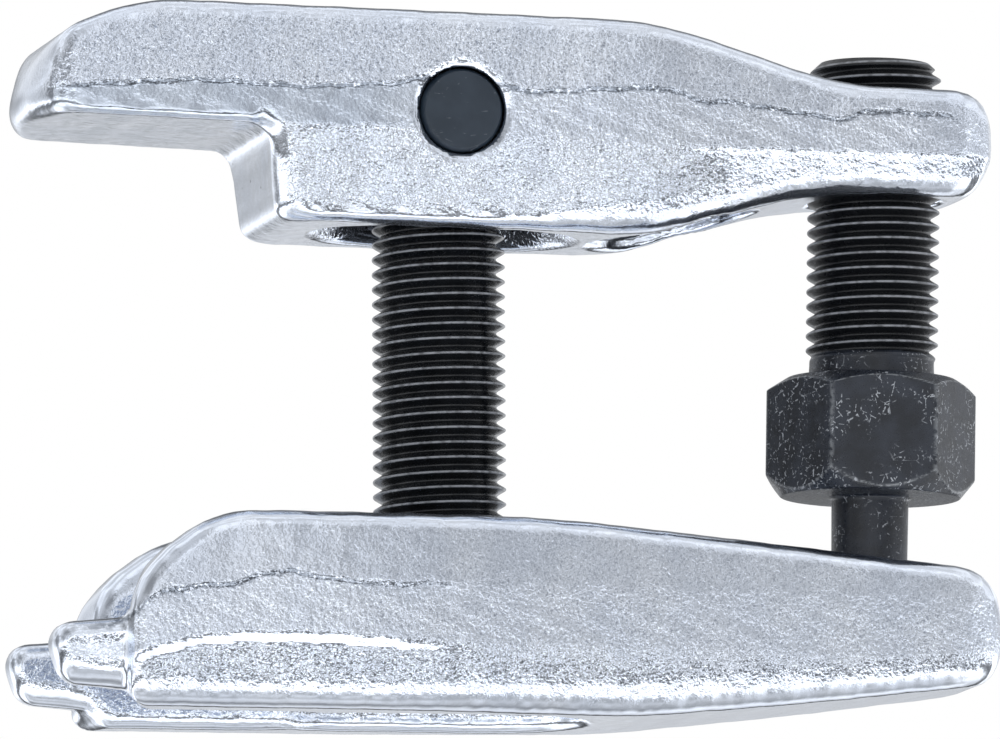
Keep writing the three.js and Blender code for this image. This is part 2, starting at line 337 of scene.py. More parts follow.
FORK_BEND = [(-46.5, 6.4), (-44, 7.2), (-39, 8.7), (-32, 9.6), (-20, 9.6), (-6, 8.8)]


def parting(path, x):
    """Height of a line along a forging, from its (x, height) path, with a little unevenness."""
    return np.interp(x, *zip(*path)) + waves(x, (0.10, 6.1, 1.9), (0.05, 2.3, 0.4))


def fork_sides(x, z):
    """How far the fork's sides stand in from the plan outline at each height.

    A ledge runs along the parting line. Below the bend they lean in, flat at the prongs and bowed
    behind them.
    """
    above = z - parting(FORK_PARTING, x)
    front = 1 - smoothstep(-14, 6, x)
    upper = 0.085 * np.maximum(above, 0)
    ledge = 0.30 * smoothstep(0.35, -0.35, above) * front
    below = np.maximum(parting(FORK_BEND, x) - z, 0)
    bent = 0.20 * below + 0.34 * smoothstep(0, 1.5, below)
    bowed = 0.06 * below + 0.024 * below ** 2
    return upper + ledge + front * bent + (1 - front) * bowed


def fork_parts(x, y, z):
    side = outline_field(FORK_SIDE, x, z)
    up = z - np.interp(x, *zip(*FORK_BOTTOM))
    facet = 0.14 * np.maximum(3.4 + 1.2 * smoothstep(0, 50, x) - up, 0)
    inset = fork_sides(x, z) + facet
    keep_front = inset * (1 - smoothstep(-38, -25, x))  # the sides lean in, the front face doesn't
    plan = outline_field(FORK_PLAN, x + keep_front, np.abs(y)) + inset
    return side, plan


def fork_tips(x, y, z):
    """The two lips at the mouth, each with a shallow sunk panel outside."""
    side = outline_field(TIP_SIDE, x, z)
    plan = outline_field(TIP_PLAN, x, np.abs(y)) + 0.04 * np.abs(z - 8.6)
    panel = 0.35 * smoothstep(1.4, 3.4, -side)
    return both(side, plan + panel, 2.0 + 2.2 * smoothstep(9, 5, z))


def fork_field(x, y, z):
    side, plan = fork_parts(x, y, z)
    solid = either(both(side, plan, 2.4), fork_tips(x, y, z), 1.6)
    gap = np.where(x < SLOT_END_X, np.abs(y), np.hypot(x - SLOT_END_X, y)) - PRONG_GAP_HALF
    gap = gap - 0.03 * np.abs(z - 9.0)
    solid = both(solid, -gap, 1.7 + 0.8 * smoothstep(-44, -50, x) + 2.0 * smoothstep(13, 21, z))
    hollow = stadium_field(x, y, FORK_RECESS_X, FORK_RECESS_HALF_LENGTH, PRONG_GAP_HALF)
    hollow = both(hollow, z - FORK_RECESS_DEPTH, 1.5)
    solid = both(solid, -hollow, 1.3)
    bore = np.hypot(x, y) - TAPPED_R
    solid = both(solid, -bore, 0.45)
    seat = both(stadium_field(x, y, SEAT_X, SEAT_HALF_LENGTH, SEAT_HALF_WIDTH), SEAT_FLOOR - z, 0.6)
    solid = both(solid, -seat, 0.5)
    return solid + ripple(x, y, z)


def fork_masks(x, y, z):
    """Where the fork's skin is rough, where shadow is painted along its parting line and where it is
    machined.
    """
    side, plan = fork_parts(x, y, z)
    inset = -np.maximum(side, -6)
    rough = smoothstep(1.1, 2.8, inset + waves(x, (0.3, 5.3, 0.2), (0.2, 2.1, 1.0)))
    inner = smoothstep(0.2, 1.5, PRONG_GAP_HALF + 1.0 - np.abs(y)) * (x < SLOT_END_X + 12)
    tip = smoothstep(PRONG_FRONT + 1.0, PRONG_FRONT - 1.0, x)
    bend = smoothstep(1.1, 0.5, np.abs(z - parting(FORK_BEND, x) + 0.75))
    bend = bend * (1 - smoothstep(-14, 2, x))
    rough = rough * (1 - 0.75 * bend) * (1 - 0.3 * smoothstep(12, 20, z))
    panel = smoothstep(1.3, 2.7, -outline_field(TIP_SIDE, x, z)) * (plan > -3)
    machined = np.where(np.hypot(x, y) < TAPPED_R + 0.4, 1.0, 0.0)
    rough = np.maximum(rough * (1 - tip), 0.45 * inner) * (1 - machined)
    rough = np.maximum(rough, 0.8 * tip * panel)
    # Painted shadow: a dark line under the ledge along the parting line.
    parting_shadow = smoothstep(0.5, 0.25, np.abs(z - parting(FORK_PARTING, x) + 0.12))
    parting_shadow = parting_shadow * smoothstep(2.5, 0.5, -plan)
    parting_shadow = parting_shadow * (1 - smoothstep(-25, 12, x)) * smoothstep(-56, -48, x)
    return {"rough": rough, "parting_shadow": parting_shadow, "machined": machined}


def lower_fork(material):
    room = 1.5  # round the fork on every side
    low = (FORK_FRONT - room, -FORK_HALF_WIDTH - room, -room)
    high = (FORK_REAR + room, FORK_HALF_WIDTH + room, FORK_TOP + room)
    points, faces = mesh_field(fork_field, low, high, FORGING_STEP)
    build("lower_fork_forging", points, faces, FORK_PLACE, "fork", "lower_fork",
          "bright_forging", material, **fork_masks(*points.T))


# ---- upper arm ------------------------------------------------------------------------------

ARM_SIDE = rounded_outline([
    (-24.4, -15.4, 2.8),
    (26.5, -15.3, 5),
    (49.2, -8.5, 6),
    (76.1, -7.6, 7),
    (76.1, 6.3, 7),
    (52.5, 6.3, 6),
    (27.0, 13.5, 8),
    (-43.5, 13.5, 6),
    (-54.3, 8.9, 3.5),
    (-58.6, 0.8, 1.4),
    (-57.7, -2.4, 2.2),
    (-25.7, -2.8, 3.3),
])
ARM_PLAN = rounded_outline([
    (-58.4, -9, 0),
    (76.1, -9, 0),
    (76.1, 13.2, 12),
    (45, 14.6, 8),
    (26, ARM_HALF_WIDTH, 8),
    (-33, ARM_HALF_WIDTH, 6),
    (-54.8, 16.0, 3.6),
    (-58.4, 4.0, 4.0),
])
ARM_PARTING = [(-58, 0.6), (-36, 2.6), (-22, 2.2), (-9, 3.2), (-5, 4.2), (6, 3.4), (9.5, 2.8), (26, 4.2),
               (29, 3.9), (32.5, 2.7), (38, 2.7), (51.5, 1.3), (53.5, 1.5), (56, 2.6), (66, 2.6), (71, 1.8)]
ARM_BOTTOM = [(-24, -15.4), (26.5, -15.3), (49, -8.5), (76, -7.6)]
ARM_BEND = [(-58, -1.9), (-49, -2.4), (-29, -2.4), (-22, -2.8), (-9, -2.5), (26, -3.6),
            (53, -3.1), (69, -2.7)]


def arm_sides(x, z):
    """How far the arm's sides stand in from the plan outline at each height.

    A step runs along the parting line, a bend below it, and a facet along the bottom edge.
    """
    above = z - parting(ARM_PARTING, x)
    upper = 0.10 * np.maximum(above, 0)
    step = 0.3 * smoothstep(0.35, -0.35, above) * (1 - smoothstep(66, 71, x))
    below = np.maximum(parting(ARM_BEND, x) - z, 0)
    crisp = 1 - smoothstep(-14, -2, x) + smoothstep(26, 34, x)
    narrow = smoothstep(26, 42, x)
    lower = (0.12 + 0.26 * narrow) * below + 0.12 * crisp * smoothstep(0, 0.7, below)
    up = z - np.interp(x, *zip(*ARM_BOTTOM))
    facet = 0.26 * (1 - narrow) * np.maximum(0.8 + 3.6 * smoothstep(0, 30, x) - up, 0)
    return upper + step + lower + facet


def arm_parts(x, y, z):
    side = outline_field(ARM_SIDE, x, z)
    inset = arm_sides(x, z)
    keep_front = inset * (1 - smoothstep(-48, -35, x))
    plan = outline_field(ARM_PLAN, x + keep_front, np.abs(y)) + inset
    return side, plan


def arm_field(x, y, z):
    side, plan = arm_parts(x, y, z)
    tongue = (1 - smoothstep(-29, -27, x)) * smoothstep(2.0, -1.0, z)
    nose = 1 - smoothstep(-56, -50, x)
    heel = (1 - smoothstep(-24, -19, x)) * smoothstep(-3, -10, z)
    foot = (1 - heel) * (1 - smoothstep(5, 25, x)) * smoothstep(-9, -12, z)
    edge = 2.3 - 1.3 * tongue * (1 - nose) + 1.3 * heel - 1.1 * foot
    solid = both(side, plan, edge)
    slot_half_length = ARM_SLOT_HALF_LENGTH - 1.6 - 0.055 * (z + 15)  # tapers upward
    flare = 0.045 * np.maximum(-9.5 - z, 0) ** 2  # and opens out at the mouth
    slot = stadium_field(x, y, ARM_SLOT_X, slot_half_length, ARM_SLOT_HALF_WIDTH) - flare
    solid = both(solid, -slot, 0.7)
    pocket = stadium_field(x, y, POCKET_X, POCKET_HALF_LENGTH, POCKET_HALF_WIDTH)
    pocket = both(pocket, both(-POCKET_DEPTH - side, z + 2, 0.5), 1.0)
    solid = both(solid, -pocket, 0.8)
    solid = both(solid, PIN_HOLE_R - np.hypot(x, z), 0.2)
    spot_face = both(np.hypot(x, z) - PIN_SPOT_R, -PIN_SPOT_DEPTH - plan, 0.2)
    solid = both(solid, -spot_face, 0.25)
    solid = both(solid, TAPPED_R - np.hypot(x - SCREW_X, y), 0.6)
    return solid + ripple(x, y, z) * smoothstep(7.0, 8.5, np.hypot(x, z))


def arm_masks(x, y, z):
    """Where the arm's skin is rough, machined, painted with shadow along its parting line, or painted with
    shade on the band below that.
    """
    side, plan = arm_parts(x, y, z)
    inset = -np.maximum(side, -6)
    above = z - parting(ARM_PARTING, x)
    uneven = waves(x, (0.3, 6.1, 0.2), (0.2, 2.3, 1.0))
    rough = smoothstep(1.1, 2.6, inset + uneven) * smoothstep(-2.5, -0.8, plan)
    band = smoothstep(0.2, -0.2, above) * smoothstep(-5.4, -4.4, above + uneven)
    band = band * (1 - 0.75 * smoothstep(-12, 4, x))
    under = smoothstep(-0.9, -1.6, z) * (x < -25) * (inset < 1.0)
    wall = (x < -23.0) * (z < -3.5) * (inset < 1.0)
    by_pin = np.hypot(x, z) < PIN_SPOT_R + 0.3
    machined = np.where(by_pin, 1.0, np.maximum(under, wall))
    slot = stadium_field(x, y, ARM_SLOT_X, ARM_SLOT_HALF_LENGTH, ARM_SLOT_HALF_WIDTH)
    in_slot = (slot < 0.5) & (z < 8)
    rough = np.maximum(rough * (1 - 0.5 * band), 0.15) * (1 - machined)
    rough = np.where(in_slot, 0.8, rough)
    rough = rough * (1 + 0.5 * smoothstep(-0.2, 1.0, above) * (1 - smoothstep(0, 30, x)))
    # Painted shadow: a dark line under the step along the parting line.
    parting_shadow = smoothstep(0.5, 0.25, np.abs(above + 0.12)) * smoothstep(2.5, 0.5, -plan)
    parting_shadow = parting_shadow * (1 - smoothstep(66, 71, x)) * smoothstep(-55.5, -53.0, x)
    # Painted shade: the band between the parting line and the bend, towards the nose, is darkened.
    band_shade = smoothstep(0.2, -0.4, above) * smoothstep(-0.3, 0.2, z - parting(ARM_BEND, x))
    band_shade = band_shade * (1 - smoothstep(-14, 0, x)) * smoothstep(-57, -54, x)
    return {"rough": rough, "parting_shadow": parting_shadow, "machined": machined, "band_shade": band_shade}


def upper_arm(material):
    low = (-59.5, -ARM_HALF_WIDTH - 1.5, -16.6)  # a little outside the arm on every side
    high = (77.6, ARM_HALF_WIDTH + 1.5, 15.1)
    points, faces = mesh_field(arm_field, low, high, FORGING_STEP)
    build("upper_arm_forging", points, faces, ARM_PLACE, "arm", "upper_arm",
          "bright_forging", material, **arm_masks(*points.T))


# ---- threaded and turned parts --------------------------------------------------------------


def smaller(a, b, blend):
    """The smaller of two, with a smooth change over where they are within `blend` of each other."""
    h = np.clip(0.5 + 0.5 * (b - a) / blend, 0, 1)
    return b * (1 - h) + a * h - blend * h * (1 - h)


def thread_depth(pitches):
    """Depth below the crest of a rolled 60 degree thread, for a height in pitches from a crest."""
    away = np.abs(pitches - np.round(pitches))
    flank = (away - 1 / 16) * PITCH * math.sqrt(3)
    rounded = -smaller(-flank, 0, 0.16)
    return smaller(rounded, THREAD_DEPTH, 0.35)


def thread_crest(points, phase):
    """1 on the crest of a thread, falling to 0 where the wear and painted highlight no longer reach."""
    x, y, z = points.T
    turn = np.mod(np.arctan2(y, x), TURN) / TURN
    return 1 - np.clip(thread_depth((z - phase) / PITCH - turn) / CREST_WEAR_AND_SHEEN_DEPTH, 0, 1)


# Rows up one pitch of a thread, as shares of it: close together on the crest.
CREST_SHARES = (0, 0.035, 0.06, 0.09, 0.13, 0.2, 0.28, 0.36, 0.43, 0.5)
THREAD_SHARES = CREST_SHARES + tuple(1 - share for share in CREST_SHARES[-2:0:-1])


def thread_rows(angles, bottom, top, phase, limit):
    """Rows of (radius, height) up a right-hand thread, each row following the helix."""
    first = math.floor((bottom - phase) / PITCH) - 2
    last = math.ceil((top - phase) / PITCH) + 2
    turn = angles / TURN
    rows = []
    for pitch_number in range(first, last):
        for share in THREAD_SHARES:
            z = np.clip(phase + PITCH * (pitch_number + share + turn), bottom, top)
            depth = thread_depth((z - phase) / PITCH - turn)
            r = limit(z, THREAD_R - depth)
            rows.append(np.stack([r, z], 1))
    return rows


def profile_rows(angles, corners, spacing):
    """Rows of (radius, height) along an open profile of (radius, height, reach) corners."""
    line = [np.array(corners[0][:2], float)]
    for before, corner, after in zip(corners, corners[1:], corners[2:]):
        line += rounded_corner(before, corner, after, 5)
    line.append(np.array(corners[-1][:2], float))
    rows = []
    for a, b in zip(line, line[1:]):
        count = max(1, math.ceil(np.linalg.norm(b - a) / spacing))
        rows += [a + (b - a) * n / count for n in range(count)]
    rows.append(line[-1])
    return [np.tile(row, (len(angles), 1)) for row in rows]


def revolve(angles, below, thread, above):
    """One closed skin of rows round z. A thread's rows meet themselves one pitch further up."""
    rows = np.array(below + thread + above)
    count, loops = rows.shape[:2]
    r, z = rows[..., 0], rows[..., 1]
    points = np.stack([r * np.cos(angles), r * np.sin(angles), z], 2).reshape(-1, 3)
    k, i = np.meshgrid(np.arange(count - 1), np.arange(loops), indexing="ij")
    j = (i + 1) % loops
    in_thread = (k >= len(below)) & (k < len(below) + len(thread) - 1)
    shift = np.where((j == 0) & in_thread, len(THREAD_SHARES), 0)
    usable = ~in_thread | (k + shift + 1 < len(below) + len(thread))
    quads = np.stack([k * loops + i, (k + shift) * loops + j,
                      (k + shift + 1) * loops + j, (k + 1) * loops + i], 2)[usable]
    return weld(points, quads)


def weighted_normals(piece):
    """Keeps flats flat beside their narrow rounded edges."""
    modifier = piece.modifiers.new("flats", "WEIGHTED_NORMAL")
    modifier.keep_sharp = True


def cut(piece, cutter):
    """Takes the cutter's shape out of a piece and throws the cutter away."""
    modifier = piece.modifiers.new("cut", "BOOLEAN")
    modifier.operation = "DIFFERENCE"
    modifier.solver = "EXACT"
    modifier.object = cutter
    view = bpy.context.evaluated_depsgraph_get()
    view.update()
    mesh = bpy.data.meshes.new_from_object(piece.evaluated_get(view))
    piece.modifiers.remove(modifier)
    piece.data = mesh
    bpy.data.objects.remove(cutter)


def even_angles(count):
    return TURN * np.arange(count) / count


def threaded_column(material):
    bottom, top = COLUMN_LOW.z, COLUMN_HIGH.z
    angles = even_angles(112)
    heights = [bottom, bottom + 1.5, top - 5.8, top - 2.6, top - 0.6, top]
    radii = [THREAD_R - 1.5, THREAD_R, THREAD_R + 0.3, THREAD_R - 1.0, THREAD_R - 3.2, THREAD_R - 5.0]

    def chamfered(z, r):
        return smaller(r, np.interp(z, heights, radii), 0.12)

    thread = thread_rows(angles, bottom, top, COLUMN_PHASE, chamfered)
    below = profile_rows(angles, [(0, bottom, 0), (THREAD_R - 2.0, bottom, 0)], 2)
    above = profile_rows(angles, [(THREAD_R - 5.6, top, 0), (0, top, 0)], 2)
    points, faces = revolve(angles, below, thread, above)
    piece = build("threaded_column_stud", points, faces, FORK_PLACE, "column", "threaded_column",
                  "black_thread", material, crest=thread_crest(points, COLUMN_PHASE))
    cut(piece, pin_bore())


def pin_bore():
    """What the pin's hole takes out of the column."""
    angles = even_angles(48)
    radius = PIN_R + 0.3
    rows = profile_rows(angles, [(0, -20, 0), (radius, -20, 0), (radius, 20, 0), (0, 20, 0)], 3)
    points, faces = revolve(angles, rows, [], [])
    along_y = np.array([(1, 0, 0), (0, 0, 1), (0, -1, 0)])
    mesh = bpy.data.meshes.new("bore")
    mesh.from_pydata(((points @ along_y.T + np.array(PIVOT)) * MM).tolist(), [], faces)
    cutter = bpy.data.objects.new("bore", mesh)
    bpy.context.scene.collection.objects.link(cutter)
    return cutter


def hexagon_angles(per_side):
    """Angles round a hexagon, closer together at its corners."""
    half = np.linspace(0, 1, per_side // 2, endpoint=False)[1:]
    spread = np.concatenate([-(half[::-1] ** 1.5), [0], half ** 1.5, [1]]) * math.pi / 6
    corners = HEX_TURN + math.pi / 3 * np.arange(6)
    return np.sort(np.mod((corners[:, None] + spread).ravel(), TURN))


def hexagon_radius(angles):
    radius = np.full(len(angles), 40.0)
    for side in range(6):
        away = np.cos(angles - HEX_TURN - math.pi / 6 - side * math.pi / 3)
        flat = np.where(away > 0.3, HEX_FLAT_R / np.maximum(away, 0.3), 40.0)
        radius = smaller(radius, flat, 0.3)
    return radius


def screw_blank(angles, flats):
    """Rows from the ball's socket up the shank and the hexagon to the plain neck."""
    rim = math.acos((SHANK_END - BALL_Z) / SOCKET_R)
    socket = [np.tile((SOCKET_R * math.sin(t), BALL_Z + SOCKET_R * math.cos(t)), (len(angles), 1))
              for t in np.linspace(0, rim, 12)]
    turned = profile_rows(angles, [
        (SOCKET_R * math.sin(rim), SHANK_END, 0),
        (SHANK_R - 0.1, SHANK_END, 0.7),
        (SHANK_R, HEX_BOTTOM - 0.05, 0.6),
        (HEX_LOWER_FACE_R, HEX_BOTTOM, 0.25),
        (HEX_BLANK_R, HEX_BOTTOM + HEX_LOWER_CHAMFER, 0.0),
        (HEX_BLANK_R, HEX_TOP - HEX_UPPER_CHAMFER, 0.0),
        (HEX_UPPER_FACE_R, HEX_TOP, 0.25),
        (BLANK_R + 0.1, HEX_TOP, 0.35),
        (BLANK_R, SCREW_THREAD_END - 0.4, 0),
    ], 0.22)
    for row in turned:
        if row[0, 0] > BLANK_R + 1:
            row[:, 0] = smaller(row[:, 0], flats, 0.22)
    return socket + turned


def hexagon_edges(points, angles, flats):
    """1 along the hexagon's corners and where its flats run into the two chamfers."""
    x, y, z = points.T
    radius = np.hypot(x, y)
    angle = np.mod(np.arctan2(y, x), TURN)
    corner = 0.6 * smoothstep(HEX_CORNER_R - 0.22, HEX_CORNER_R - 0.06, radius)
    rise = z - HEX_BOTTOM
    drop = HEX_TOP - z
    cone = np.minimum(
        HEX_LOWER_FACE_R + rise * (HEX_BLANK_R - HEX_LOWER_FACE_R) / HEX_LOWER_CHAMFER,
        HEX_UPPER_FACE_R + drop * (HEX_BLANK_R - HEX_UPPER_FACE_R) / HEX_UPPER_CHAMFER)
    flat = np.interp(angle, angles, flats, period=TURN)
    rim_edge = smoothstep(0.17, 0.03, np.abs(cone - flat))
    on_hex = (z > HEX_BOTTOM - 0.1) & (z < HEX_TOP + 0.1) & (radius > HEX_UPPER_FACE_R - 0.5)
    return np.where(on_hex, np.maximum(corner, rim_edge), 0)


def pressure_screw(material):
    angles = hexagon_angles(24)
    flats = hexagon_radius(angles)
    heights = [SCREW_THREAD_END, SCREW_TOP - 1.6, SCREW_TOP]
    radii = [THREAD_R + 0.3, THREAD_R + 0.2, THREAD_R - 1.5]

    def run_out(z, r):
        started = smoothstep(SCREW_THREAD_END, SCREW_THREAD_END + 1.8, z)
        return smaller(BLANK_R + (r - BLANK_R) * started, np.interp(z, heights, radii), 0.12)

    below = screw_blank(angles, flats)
    thread = thread_rows(angles, SCREW_THREAD_END, SCREW_TOP, SCREW_PHASE, run_out)
    above = profile_rows(angles, [(THREAD_R - 2.1, SCREW_TOP, 0), (0, SCREW_TOP, 0)], 1.5)
    points, faces = revolve(angles, below, thread, above)
    threaded = points[:, 2] > SCREW_THREAD_END + 1.0
    crest = np.where(threaded, thread_crest(points, SCREW_PHASE), 0)
    piece = build("pressure_screw_forged", points, faces, SCREW_PLACE, "screw", "pressure_screw",
                  "black_screw", material, crest=crest, edge=hexagon_edges(points, angles, flats),
                  threaded=threaded)
    weighted_normals(piece)


def pivot_pin(material):
    half = PIN_HALF_LENGTH
    angles = even_angles(96)
    rows = profile_rows(angles, [
        (0, -half, 0),
        (PIN_R - 0.5, -half, 0.12),
        (PIN_R, -half + 1.0, 0.2),
        (PIN_R, half - 1.0, 0.2),
        (PIN_R - 0.5, half, 0.12),
        (0, half, 0),
    ], 0.8)
    points, faces = revolve(angles, rows, [], [])
    place = ARM_PLACE @ Matrix.Rotation(math.pi / 2, 4, "X")
    piece = build("pivot_pin_ground", points, faces, place, "arm", "pivot_pin", "black_pin", material)
    weighted_normals(piece)


def thrust_ball(material):
    angles = even_angles(64)
    rise = np.linspace(-math.pi / 2, math.pi / 2, 40)
    radius = BALL_R * np.cos(rise)
    height = BALL_Z + BALL_R * np.sin(rise)
    worn_flat = BALL_Z - BALL_R + 0.03  # burnished where it bears on the seat
    rows = [np.tile((max(r, 0), max(z, worn_flat)), (len(angles), 1))
            for r, z in zip(radius, height)]
    points, faces = revolve(angles, rows, [], [])
    build("thrust_ball_polished", points, faces, SCREW_PLACE, "tip_ball", "thrust_ball",
          "hard_ball", material)


# ---- materials ------------------------------------------------------------------------------


class Nodes:
    """Short calls for building one material's node tree."""

    def __init__(self, name, **shader):
        self.material = bpy.data.materials.new(name)
        self.material.use_nodes = True
        self.tree = self.material.node_tree
        self.shader = self.tree.nodes["Principled BSDF"]
        for socket, value in shader.items():
            self.shader.inputs[socket.replace("_", " ")].default_value = value
        self.place = self.add("ShaderNodeTexCoord").outputs["Object"]

    def add(self, kind, **settings):
        node = self.tree.nodes.new(kind)
        for key, value in settings.items():
            setattr(node, key, value)
        return node

    def link(self, value, socket):
        if isinstance(value, (int, float, tuple)):
            socket.default_value = value
        else:
            self.tree.links.new(value, socket)

    def stretched(self, x, y, z):
        node = self.add("ShaderNodeMapping")
        self.link(self.place, node.inputs["Vector"])
        node.inputs["Scale"].default_value = (x, y, z)
        return node.outputs["Vector"]

    def noise(self, size_mm, detail=2.0, rough=0.5, distortion=0.0, at=None):
        node = self.add("ShaderNodeTexNoise")
        self.link(at or self.place, node.inputs["Vector"])
        node.inputs["Scale"].default_value = 1 / (size_mm * MM)
        node.inputs["Detail"].default_value = detail
        node.inputs["Roughness"].default_value = rough
        node.inputs["Distortion"].default_value = distortion
        return node.outputs["Fac"]

    def cells(self, size_mm, at=None, feature="F1", smooth=0.0):
        node = self.add("ShaderNodeTexVoronoi", feature=feature)
        self.link(at or self.place, node.inputs["Vector"])
        node.inputs["Scale"].default_value = 1 / (size_mm * MM)
        if feature == "SMOOTH_F1":
            node.inputs["Smoothness"].default_value = smooth
        return node.outputs["Distance"]

    def math(self, operation, a, b=0.0):
        node = self.add("ShaderNodeMath", operation=operation)
        self.link(a, node.inputs[0])
        self.link(b, node.inputs[1])
        return node.outputs[0]

    def span(self, value, low, high, to_low=0.0, to_high=1.0):
        node = self.add("ShaderNodeMapRange", interpolation_type="SMOOTHSTEP")
        self.link(value, node.inputs["Value"])
        for socket, number in zip(("From Min", "From Max", "To Min", "To Max"),
                                  (low, high, to_low, to_high)):
            self.link(number, node.inputs[socket])
        return node.outputs["Result"]

    def mask(self, name):
        return self.add("ShaderNodeAttribute", attribute_name=name).outputs["Fac"]

    def blend(self, share, a, b):
        node = self.add("ShaderNodeMix", data_type="RGBA")
        self.link(share, node.inputs["Factor"])
        self.link(a, node.inputs[6])
        self.link(b, node.inputs[7])
        return node.outputs[2]

    def bump(self, height, depth_mm, under=None):
        node = self.add("ShaderNodeBump")
        self.link(height, node.inputs["Height"])
        node.inputs["Distance"].default_value = depth_mm * MM
        if under is not None:
            self.link(under, node.inputs["Normal"])
        return node.outputs["Normal"]

    def finish(self, colour, roughness, normal):
        self.link(colour, self.shader.inputs["Base Color"])
        self.link(roughness, self.shader.inputs["Roughness"])
        self.link(normal, self.shader.inputs["Normal"])
        return self.material


def plated_forging():
    """Bright zinc over a forged skin: close wormy orange peel, smooth on the rounded edges, with painted
    shade in its hollows and along its worms.
    """
    n = Nodes("bright_forging", Metallic=1.0)
    rough = n.mask("rough")
    parting_shadow = n.mask("parting_shadow")
    machined = n.mask("machined")
    worms = n.noise(0.44, detail=1.0, rough=0.4, distortion=0.7)
    pits = n.cells(0.62, feature="SMOOTH_F1", smooth=0.6)
    broad = n.noise(4.5, detail=2.0)
    fine = n.noise(0.22, detail=2.0)
    peel = n.math("ADD", n.math("MULTIPLY", worms, 0.75), n.math("MULTIPLY", pits, 0.45))
    depth = n.math("MULTIPLY", rough, n.span(broad, 0.3, 0.7, 0.7, 1.0))
    brushed = n.noise(0.35, detail=3.0, at=n.stretched(0.12, 1.0, 1.0))
    normal = n.bump(n.math("MULTIPLY", peel, depth), 0.145)
    normal = n.bump(n.noise(2.4, detail=2.0), 0.05, normal)
    normal = n.bump(fine, 0.004, normal)
    normal = n.bump(n.math("MULTIPLY", brushed, machined), 0.03, normal)
    cloud = n.span(n.noise(9.0, detail=3.0), 0.3, 0.7)
    colour = n.blend(cloud, (0.775, 0.825, 0.915, 1), (0.84, 0.88, 0.95, 1))
    # Painted shade: the low parts of the peel are darkened, as if shaded.
    hollow = n.math("MULTIPLY", n.span(peel, 0.45, 0.25), rough)
    colour = n.blend(n.math("MULTIPLY", hollow, 0.45), colour, (0.34, 0.37, 0.42, 1))
    # Painted shade: thin dark squiggles traced along the worms of the peel.
    squiggle_shade = n.span(n.math("ABSOLUTE", n.math("SUBTRACT", worms, 0.47)), 0.05, 0.0)
    squiggle_shade = n.math("MULTIPLY", squiggle_shade, depth)
    colour = n.blend(n.math("MULTIPLY", squiggle_shade, 0.6), colour, (0.24, 0.28, 0.36, 1))
    # Painted shadow along the parting line, broken into dots.
    parting_shadow_dots = n.math("MULTIPLY", parting_shadow, n.span(n.noise(0.7, detail=2.0), 0.3, 0.5))
    # Painted shade on the band under the arm's parting line.
    colour = n.blend(n.math("MULTIPLY", n.mask("band_shade"), 0.42), colour, (0.36, 0.42, 0.50, 1))
    colour = n.blend(n.math("MULTIPLY", parting_shadow_dots, 0.8), colour, (0.12, 0.14, 0.17, 1))
    specks = n.math("MULTIPLY", n.span(n.cells(2.6), 0.10, 0.05), machined)
    colour = n.blend(specks, colour, (0.10, 0.11, 0.12, 1))
    roughness = n.span(n.noise(1.4, detail=3.0), 0.3, 0.7, 0.12, 0.18)
    return n.finish(colour, roughness, normal)


def crest_wear_and_sheen(n, colour):
    """Bare metal along a thread's crests: real wear, and a painted highlight line along each crest."""
    broken = n.span(n.noise(1.1, detail=4.0), 0.30, 0.62, 0.35, 1.0)
    bare = n.math("MULTIPLY", n.mask("crest"), broken)
    return n.blend(bare, colour, (0.24, 0.25, 0.27, 1))


def black_thread():
    """Oiled black oxide on a rolled thread, its crests paler: rubbed bare, and painted as a highlight."""
    n = Nodes("black_thread", Metallic=0.0, Specular_IOR_Level=0.55)
    cloud = n.noise(3.0, detail=3.0)
    colour = n.blend(n.span(cloud, 0.3, 0.7), (0.002, 0.0025, 0.0035, 1), (0.005, 0.006, 0.008, 1))
    roughness = n.span(n.noise(0.8, detail=3.0), 0.3, 0.7, 0.16, 0.30)
    normal = n.bump(n.noise(0.5, detail=3.0), 0.015)
    return n.finish(crest_wear_and_sheen(n, colour), roughness, normal)


def scratches(n, cell_mm, stretch, width, break_mm):
    """Short broken lines: pieces of the borders of long cells."""
    border = n.cells(cell_mm, at=n.stretched(*stretch), feature="DISTANCE_TO_EDGE")
    lines = n.span(border, width, 0.0)
    return n.math("MULTIPLY", lines, n.span(n.noise(break_mm, detail=3.0), 0.53, 0.60))


def black_screw():
    """Satin black oxide, scratched by spanners and rubbed bare along the edges of the hexagon."""
    n = Nodes("black_screw", Metallic=0.0, Specular_IOR_Level=0.5)
    cloud = n.noise(3.5, detail=4.0)
    grain = n.noise(0.35, detail=3.0)
    threaded = n.mask("threaded")
    colour = n.blend(n.span(cloud, 0.3, 0.7), (0.0065, 0.0085, 0.013, 1), (0.019, 0.0235, 0.034, 1))
    colour = n.blend(threaded, colour, (0.003, 0.0036, 0.005, 1))
    worn = n.math("MULTIPLY", n.mask("edge"), n.span(n.noise(0.7, detail=4.0), 0.36, 0.60))
    colour = n.blend(n.math("MULTIPLY", worn, 0.7), colour, (0.30, 0.315, 0.33, 1))
    # Crests rubbed bare, with a painted highlight along them.
    colour = crest_wear_and_sheen(n, colour)
    patches = n.span(n.noise(5.0, detail=2.0), 0.42, 0.56)
    lines = n.math("MAXIMUM", scratches(n, 1.2, (1.0, 1.0, 0.5), 0.055, 0.45),
                   scratches(n, 1.8, (0.6, 0.6, 1.4), 0.04, 0.6))
    lines = n.math("MULTIPLY", n.math("MULTIPLY", lines, patches), n.math("SUBTRACT", 1.0, threaded))
    colour = n.blend(lines, colour, (0.40, 0.42, 0.45, 1))
    roughness = n.span(grain, 0.3, 0.7, 0.26, 0.40)
    normal = n.bump(grain, 0.016)
    normal = n.bump(n.noise(1.6, detail=2.0), 0.03, normal)
    return n.finish(colour, roughness, normal)


